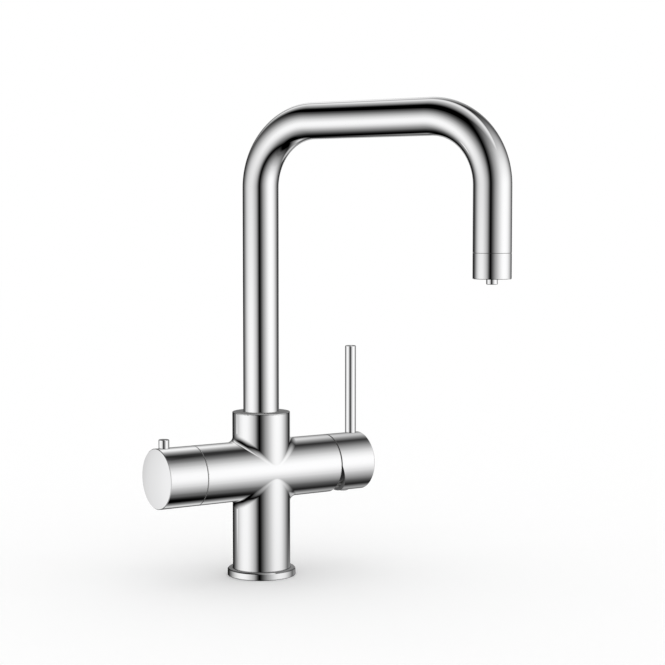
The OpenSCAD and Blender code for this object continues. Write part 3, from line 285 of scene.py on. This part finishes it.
def add_upright(skin):
    """The upright's wall with its blends, its top with the spout's socket, and its hollow foot."""
    for up in (1, -1):
        skin.grid([blend_arc(a, up) for a in FULL_TURN])
    first, last = TURNS // 4 - GRUB_COLUMNS, TURNS // 4 + GRUB_COLUMNS
    below, above = GRUB_Z - GRUB_EDGE, GRUB_Z + GRUB_EDGE
    skin.grid([upright_column(a, FOOT_Z, BARREL_Z - ball_centre(a).z) for a in FULL_TURN])
    skin.grid([upright_column(a, BARREL_Z + ball_centre(a).z, below) for a in FULL_TURN])
    skin.grid([upright_column(a, above, BODY_TOP - TOP_RIM) for a in FULL_TURN])
    for part in (FULL_TURN[:first + 1], FULL_TURN[last:]):
        skin.grid([upright_column(a, below, above) for a in part])
    add_grub_window(skin, FULL_TURN[first], FULL_TURN[last])
    turn_outline(skin, [
        (UPRIGHT_R, BODY_TOP - 2 * TOP_RIM), (UPRIGHT_R, BODY_TOP, TOP_RIM),
        (FLANGE_SEAT_R, BODY_TOP), (FLANGE_SEAT_R, BODY_TOP - FLANGE_SEAT_H),
        (SOCKET_R, BODY_TOP - FLANGE_SEAT_H), (SOCKET_R, SOCKET_FLOOR),
        (HOT_SOCKET_R, SOCKET_FLOOR), (HOT_SOCKET_R, HOT_SOCKET_Z), (0, HOT_SOCKET_Z),
    ], Matrix(), FULL_TURN)
    turn_outline(skin, [
        (0, FOOT_ROOF_Z), (FOOT_BORE_R, FOOT_ROOF_Z), (FOOT_BORE_R, FOOT_Z), (UPRIGHT_R, FOOT_Z),
    ], Matrix(), FULL_TURN)


def barrel_starts():
    """(angle round the barrel, distance from the upright's axis at which its wall starts) pairs."""
    quarter = TURNS // 4
    upper = []
    for k in range(quarter, -quarter - 1, -1):
        centre = ball_centre(2 * math.pi * k / TURNS)
        upper.append((math.atan2(centre.z, centre.y), centre.x))
    gap = [upper[0][0] * k / GAP_STEPS for k in range(1 - GAP_STEPS, GAP_STEPS)]
    starts = [(g, 0) for g in gap] + upper + [(math.pi + g, 0) for g in gap]
    starts += [(-angle, x) for angle, x in reversed(upper)]
    return starts + starts[:1]


def barrel_place(way):
    """Z along the barrel, outwards to the lever (1) or to the knob (-1), X along the row's Y."""
    return Matrix.Translation((0, 0, BARREL_Z)) @ Matrix((
        (0, 0, way, 0), (1, 0, 0, 0), (0, 1, 0, 0), (0, 0, 0, 1)))


def add_barrel(skin):
    """The barrel's wall, and its two ends with the bores that the pieces in them leave in sight."""
    starts = barrel_starts()
    for way in (1, -1):
        rows = []
        for angle, x in starts:
            out = Vector((0, math.cos(angle), math.sin(angle)))
            middle = Vector((0, 0, BARREL_Z)) + out * BARREL_R
            rows.append([(middle + Vector((way * u, 0, 0)), out)
                         for u in (x, BARREL_END - END_RIM)])
        skin.grid(rows)

    nut_low, nut_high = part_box("cartridge_nut")
    seal_low, seal_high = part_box("cartridge_seal")
    shroud_low, shroud_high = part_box("lever_shroud")
    nut_r, seal_r = nut_high[1] + CARTRIDGE_GAP, seal_high[1] + CARTRIDGE_GAP
    shroud_r = shroud_high[1] + SHROUD_GAP
    lever_bore = [(shroud_r, shroud_low[0]), (nut_r, shroud_low[0]), (nut_r, nut_low[0]),
                  (seal_r, nut_low[0]), (seal_r, seal_low[0]), (0, seal_low[0])]

    mouth_floor = -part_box("stop_sleeve")[1][0] - KNOB_MOUTH_BEHIND_SLEEVE
    valve_floor = -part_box("valve_seal")[1][0]
    knob_bore = [(KNOB_MOUTH_R, mouth_floor), (VALVE_BORE_R, mouth_floor),
                 (VALVE_BORE_R, valve_floor), (0, valve_floor)]

    angles = [angle for angle, x in starts]
    for way, bore in ((1, lever_bore), (-1, knob_bore)):
        end = [(BARREL_R, BARREL_END - 2 * END_RIM), (BARREL_R, BARREL_END, END_RIM),
               (bore[0][0], BARREL_END, MOUTH_RIM)]
        turn_outline(skin, end + bore, barrel_place(way), angles)


def make_body(material):
    skin = Skin()
    add_upright(skin)
    add_barrel(skin)
    skin.build("body_shell", material, "tap_body", "body_casting")


# ---- The spout: one tube on a path of straights and two quarter bends ----

def spout_path():
    """(point, direction) pairs along the spout's axis, in the spout's own upright plane."""
    bend_z = SPOUT_TOP - TUBE_R - BEND_R
    quarter = [math.pi / 2 * k / BEND_STEPS for k in range(BEND_STEPS + 1)]
    path = [((0, TUBE_FOOT), (0, 1))]
    for a in quarter:
        path.append(((BEND_R * (1 - math.cos(a)), bend_z + BEND_R * math.sin(a)),
                     (math.sin(a), math.cos(a))))
    for a in quarter:
        path.append(((REACH - BEND_R * (1 - math.sin(a)), bend_z + BEND_R * math.cos(a)),
                     (math.cos(a), -math.sin(a))))
    path.append(((REACH, TUBE_END_Z), (0, -1)))
    return path


def make_spout(material):
    skin = Skin()
    spin = Matrix.Rotation(SPOUT_TURN, 4, "Z")
    turn = spin.to_3x3()
    path = spout_path()
    outer = ([((0, TUBE_FOOT + TUBE_EDGE), (0, 1))] + path[1:-1]
             + [((REACH, TUBE_END_Z + TUBE_EDGE), (0, -1))])
    for radius, way, along in ((TUBE_R, 1, outer), (TUBE_BORE_R, -1, path)):
        rows = []
        for (x, z), (dx, dz) in along:
            centre = Vector((x, 0, z))
            side = Vector((-dz, 0, dx))
            row = []
            for a in FULL_TURN:
                out = side * math.cos(a) + Vector((0, 1, 0)) * math.sin(a)
                row.append((spin @ (centre + out * radius), turn @ (out * way)))
            rows.append(row)
        skin.grid(rows)
    # Both ends face down, with a broken outer edge
    for (x, z), rounding in ((path[0][0], TUBE_FOOT_RIM), (path[-1][0], TUBE_END_RIM)):
        turn_outline(skin, [(TUBE_BORE_R, z), (TUBE_R, z, rounding), (TUBE_R, z + TUBE_EDGE)],
                     spin @ Matrix.Translation((x, 0, 0)), FULL_TURN)
    skin.build("spout_shell", material, "spout", "spout_tube")


# ---- Materials ----

def shader(name):
    material = bpy.data.materials.new(name)
    material.use_nodes = True
    return material, material.node_tree.nodes, material.node_tree.links


def spread(nodes, links, value, from_low, from_high, to_low=0, to_high=1):
    """A value that goes from one range into another, and stays within it."""
    node = nodes.new("ShaderNodeMapRange")
    node.inputs["From Min"].default_value = from_low
    node.inputs["From Max"].default_value = from_high
    node.inputs["To Min"].default_value = to_low
    node.inputs["To Max"].default_value = to_high
    links.new(value, node.inputs["Value"])
    return node.outputs["Result"]


def varied(nodes, links, scale, low, high):
    """A value that drifts between low and high over the object, with features 1/scale across."""
    place = nodes.new("ShaderNodeTexCoord")
    noise = nodes.new("ShaderNodeTexNoise")
    noise.inputs["Scale"].default_value = scale
    noise.inputs["Detail"].default_value = 4
    links.new(place.outputs["Object"], noise.inputs["Vector"])
    return spread(nodes, links, noise.outputs[0], 0.3, 0.7, low, high)


def metal(name, color, rough, scale):
    """Metal whose roughness drifts between the two rough values."""
    material, nodes, links = shader(name)
    face = nodes["Principled BSDF"]
    face.inputs["Base Color"].default_value = (*color, 1)
    face.inputs["Metallic"].default_value = 1
    links.new(varied(nodes, links, scale, *rough), face.inputs["Roughness"])
    return material


def plated(name, reach, shut=0.5, clear=0.8):
    """Chrome plate with painted shade: its colour is darkened in joints narrower than the reach,
    where no light gets in:
    wholly so where less than the part shut of its view is free, not at all where clear is."""
    material = metal(name, BRIGHT, CHROME_ROUGH, 60)
    nodes, links = material.node_tree.nodes, material.node_tree.links
    hollow = nodes.new("ShaderNodeAmbientOcclusion")
    hollow.inputs["Distance"].default_value = reach
    hollow.samples = OCCLUSION_SAMPLES
    # Painted shade: the occlusion mixes the dark colour into the chrome's own in joints and gaps
    blend = nodes.new("ShaderNodeMix")
    blend.data_type = "RGBA"
    blend.inputs[MIX_A].default_value = (*PAINTED_SHADE, 1)
    blend.inputs[MIX_B].default_value = (*BRIGHT, 1)
    links.new(spread(nodes, links, hollow.outputs["AO"], shut, clear), blend.inputs[MIX_FACTOR])
    links.new(blend.outputs[MIX_COLOR], nodes["Principled BSDF"].inputs["Base Color"])
    return material


def solid(name, color, rough, scale, bump=0.0):
    """Rubber, plastic or ceramic, with dents where it is less smooth if it has a bump."""
    material, nodes, links = shader(name)
    face = nodes["Principled BSDF"]
    face.inputs["Base Color"].default_value = (*color, 1)
    roughness = varied(nodes, links, scale, *rough)
    links.new(roughness, face.inputs["Roughness"])
    if bump:
        dent = nodes.new("ShaderNodeBump")
        dent.inputs["Strength"].default_value = bump
        dent.inputs["Distance"].default_value = 0.1 * MM
        links.new(roughness, dent.inputs["Height"])
        links.new(dent.outputs["Normal"], face.inputs["Normal"])
    return material


def make_materials():
    return {
        # Both chrome plates paint shade into joints by occlusion; the hub's long reach paints it
        # into its deep skirt too
        "chrome": plated("chrome_plate", 1.6 * MM),
        "hub": plated("chrome_plate_hub", 25 * MM, 0.44, 0.68),
        "brass": metal("machined_brass", (0.80, 0.66, 0.38), (0.2, 0.36), 400),
        "steel": metal("plain_steel", (0.70, 0.72, 0.74), (0.22, 0.36), 500),
        "rubber": solid("matt_rubber", (0.03, 0.03, 0.032), (0.6, 0.8), 900, 0.3),
        "white_plastic": solid("white_moulding", (0.85, 0.85, 0.83), (0.32, 0.45), 500, 0.1),
        "black_plastic": solid("black_moulding", (0.012, 0.012, 0.014), (0.35, 0.5), 600, 0.1),
        "ceramic": solid("lapped_ceramic", (0.86, 0.84, 0.78), (0.06, 0.14), 700),
    }


def dress_nodes(materials):
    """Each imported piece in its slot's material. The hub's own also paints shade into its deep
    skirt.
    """
    finish = {part["node"]: part["material_slot"] for part in frame["record"]["subparts"]}
    finish["lever_hub"] = "hub"
    for node, slot in finish.items():
        for place in frame["nodes"][node].material_slots:
            place.material = materials[slot]


# ---- Studio ----

def make_camera():
    data = bpy.data.cameras.new("camera")
    data.lens = CAMERA_LENS
    data.sensor_width = CAMERA_SENSOR
    camera = bpy.data.objects.new("camera", data)
    camera.location = CAMERA_AT
    camera.rotation_euler = (math.pi / 2 - CAMERA_PITCH, 0, CAMERA_TURN)
    bpy.context.scene.collection.objects.link(camera)
    bpy.context.scene.camera = camera


def make_floor():
    h = FLOOR_HALF
    mesh = bpy.data.meshes.new("floor")
    mesh.from_pydata([(-h, -h, 0), (h, -h, 0), (h, h, 0), (-h, h, 0)], [], [(0, 1, 2, 3)])
    floor = bpy.data.objects.new("floor", mesh)
    material, nodes, links = shader("floor_paint")
    paint = nodes["Principled BSDF"]
    paint.inputs["Base Color"].default_value = WHITE
    paint.inputs["Roughness"].default_value = 1
    paint.inputs["Specular IOR Level"].default_value = 0
    mesh.materials.append(material)
    bpy.context.scene.collection.objects.link(floor)


class Glow:
    """Builds a soft box's brightness from nodes. Directions are as seen from the studio's middle,
    in degrees: azimuth to the right of the photograph's camera, elevation up from level."""

    def __init__(self, material):
        self.nodes, self.links = material.node_tree.nodes, material.node_tree.links
        place = self.nodes.new("ShaderNodeTexCoord")
        turned = self.nodes.new("ShaderNodeVectorRotate")
        turned.rotation_type = "Z_AXIS"
        turned.inputs["Angle"].default_value = math.pi / 2 - CAMERA_TURN
        self.links.new(place.outputs["Object"], turned.inputs["Vector"])
        split = self.nodes.new("ShaderNodeSeparateXYZ")
        self.links.new(turned.outputs["Vector"], split.inputs["Vector"])
        self.near, self.right, height = split.outputs
        self.up = self.maths("DIVIDE", height, STUDIO_R)
        far = self.maths("MULTIPLY", self.near, -1)
        self.azimuth = self.degrees("ARCTAN2", self.right, self.near)
        self.from_rear = self.degrees("ARCTAN2", self.right, far)
        self.elevation = self.degrees("ARCSINE", self.up)

    def maths(self, kind, a, b=None):
        node = self.nodes.new("ShaderNodeMath")
        node.operation = kind
        for socket, value in zip(node.inputs, (a, b)):
            if isinstance(value, (int, float)):
                socket.default_value = value
            elif value is not None:
                self.links.new(value, socket)
        return node.outputs[0]

    def degrees(self, kind, a, b=None):
        return self.maths("MULTIPLY", self.maths(kind, a, b), 180 / math.pi)

    def brightest(self, *glows):
        result = glows[0]
        for glow in glows[1:]:
            result = self.maths("MAXIMUM", result, glow)
        return result

    def steps(self, value, stops):
        """Brightness along the value, through (value, brightness) stops of 0 to 1."""
        low, high = stops[0][0], stops[-1][0]
        node = self.nodes.new("ShaderNodeValToRGB")
        node.color_ramp.interpolation = "CARDINAL"
        elements = node.color_ramp.elements
        elements.remove(elements[-1])
        for k, (at, bright) in enumerate(stops):
            part = (at - low) / (high - low)
            element = elements[0] if k == 0 else elements.new(part)
            element.position = part
            element.color = (bright, bright, bright, 1)
        self.links.new(spread(self.nodes, self.links, value, low, high), node.inputs["Fac"])
        return node.outputs["Color"]

    def stretched(self, value, middle, below, above):
        """Distance from the middle in half widths, which differ below and above it."""
        away = self.maths("SUBTRACT", value, middle)
        low = self.maths("DIVIDE", self.maths("MINIMUM", away, 0), below)
        high = self.maths("DIVIDE", self.maths("MAXIMUM", away, 0), above)
        return self.maths("ADD", low, high)

    def box(self, across, along):
        """A soft box by its brightness across azimuth and along elevation."""
        return self.maths("MULTIPLY", self.steps(self.azimuth, across),
                          self.steps(self.elevation, along))

    def oval(self, azimuth, across, along, stops):
        """An oval soft box, by stops from its middle (0) to its edge (1) and beyond. Its place
        and its half widths are (middle, to the left, to the right) and (middle, down, up)."""
        aside = self.stretched(azimuth, *across)
        aloft = self.stretched(self.elevation, *along)
        squares = self.maths("ADD", self.maths("MULTIPLY", aside, aside),
                             self.maths("MULTIPLY", aloft, aloft))
        return self.steps(self.maths("SQRT", squares), stops)

    def ceiling_strip(self, across, along):
        """A box overhead that runs from behind on the left to the front on the right, by its
        brightness across a level ceiling and along elevation, below which it fades out."""
        aside = self.maths("SUBTRACT", self.near, self.right)
        height = self.maths("MAXIMUM", self.up, 0.05)
        reach = self.maths("DIVIDE", self.maths("DIVIDE", aside, height), STUDIO_R)
        return self.maths("MULTIPLY", self.steps(reach, across), self.steps(self.elevation, along))


def soft_boxes(glow):
    """Two wide soft boxes left and right of the photograph's camera with a dark gap between them,
    a strip overhead, three boxes behind, and a card each for the knob's and the lever's end."""
    left = glow.box(
        [(-180, 0), (-145, 0), (-127, 0.11), (-113, 0.31), (-100, 0.57), (-88, 0.78), (-76, 0.91),
         (-64, 0.95), (-52, 0.91), (-42, 0.77), (-32, 0.58), (-24, 0.37), (-17, 0.12),
         (-11, 0.01), (-5, 0), (180, 0)],
        [(-90, 0), (-72, 0), (-58, 0.2), (-46, 0.4), (-35, 0.66), (-24, 0.9), (-12, 1), (0, 0.92),
         (15, 0.63), (25, 0.38), (35, 0.155), (45, 0.02), (50, 0), (90, 0)])
    right = glow.box(
        [(-180, 0), (-7, 0), (1, 0.07), (8, 0.18), (15, 0.32), (23, 0.46), (30, 0.6), (38, 0.75),
         (45, 0.87), (53, 0.96), (65, 1), (78, 0.96), (88, 0.87), (98, 0.71), (109, 0.52),
         (121, 0.29), (139, 0.07), (152, 0), (180, 0)],
        [(-90, 0), (-72, 0), (-65, 0.09), (-55, 0.23), (-35, 0.61), (-25, 0.8), (-14, 0.95),
         (0, 1), (14, 0.95), (27, 0.79), (37, 0.6), (52, 0.31), (64, 0.1), (70, 0), (90, 0)])
    strip = glow.ceiling_strip(
        [(-0.9, 0.03), (-0.66, 0.03), (-0.58, 0.03), (-0.52, 0.12), (-0.46, 0.45), (-0.4, 0.7),
         (-0.22, 0.78), (0, 0.52), (0.2, 0.34), (0.37, 0.18), (0.55, 0.035), (0.7, 0)],
        [(15, 0), (28, 0.5), (42, 1)])
    rear = glow.oval(glow.from_rear, (-9, 29, 60), (36, 45, 45), [
        (0, 0.95), (0.15, 0.82), (0.3, 0.6), (0.45, 0.4), (0.6, 0.26), (0.75, 0.15), (0.9, 0.07),
        (1.05, 0.02), (1.2, 0)])
    rear_level = glow.oval(glow.from_rear, (0, 24, 24), (-8, 20, 14), [
        (0, 0.42), (0.6, 0.38), (0.9, 0.1), (1.1, 0)])
    rear_low = glow.oval(glow.from_rear, (-4, 12, 40), (-50, 28, 18), [
        (0, 0.7), (0.15, 0.66), (0.35, 0.45), (0.5, 0.31), (0.65, 0.23), (0.8, 0.16), (0.95, 0.09),
        (1.15, 0.035), (1.35, 0)])
    knob_card = glow.oval(glow.azimuth, (-106, 6, 5), (-14, 7, 7), [
        (0, 0.92), (0.35, 0.88), (0.5, 0.82), (0.7, 0.67), (0.9, 0.38), (1.1, 0)])
    lever_card = glow.oval(glow.azimuth, (152, 26, 22), (-31, 18, 12), [
        (0, 0.5), (0.5, 0.42), (0.8, 0.2), (1.1, 0)])
    left_and_cards = glow.brightest(left, knob_card, lever_card)
    others = glow.brightest(strip, right, rear, rear_level, rear_low)
    return glow.maths("MULTIPLY", glow.maths("ADD", left_and_cards, others), STUDIO_POWER)


def make_dome():
    """What the metal mirrors: a sphere of soft boxes that nothing but a reflection sees."""
    mesh = bpy.data.meshes.new("studio_dome")
    shape = bmesh.new()
    bmesh.ops.create_uvsphere(shape, u_segments=STUDIO_SEGMENTS, v_segments=STUDIO_SEGMENTS // 2,
                              radius=STUDIO_R)
    shape.to_mesh(mesh)
    shape.free()
    material, nodes, links = shader("studio_boxes")
    nodes.clear()
    light = nodes.new("ShaderNodeEmission")
    light.inputs["Color"].default_value = WHITE
    links.new(soft_boxes(Glow(material)), light.inputs["Strength"])
    out = nodes.new("ShaderNodeOutputMaterial")
    links.new(light.outputs["Emission"], out.inputs["Surface"])
    mesh.materials.append(material)
    dome = bpy.data.objects.new("studio_dome", mesh)
    dome.location = STUDIO_AT
    for ray in HIDDEN_FROM:
        setattr(dome, "visible_" + ray, False)
    bpy.context.scene.collection.objects.link(dome)


def make_studio():
    """White light all round for the camera and for matt surfaces, at a plain level. What shines
    sees the dome alone: neither the floor nor another piece, as in the photograph."""
    world = bpy.data.worlds.new("studio")
    bpy.context.scene.world = world
    world.use_nodes = True
    world.node_tree.nodes["Background"].inputs["Color"].default_value = WHITE
    world.cycles_visibility.glossy = False
    bpy.context.scene.view_settings.view_transform = "Standard"
    for piece in bpy.context.scene.objects:
        piece.visible_glossy = False
    make_dome()


make_camera()
make_floor()
materials = make_materials()
dress_nodes(materials)
make_body(materials["chrome"])
make_spout(materials["chrome"])
make_studio()
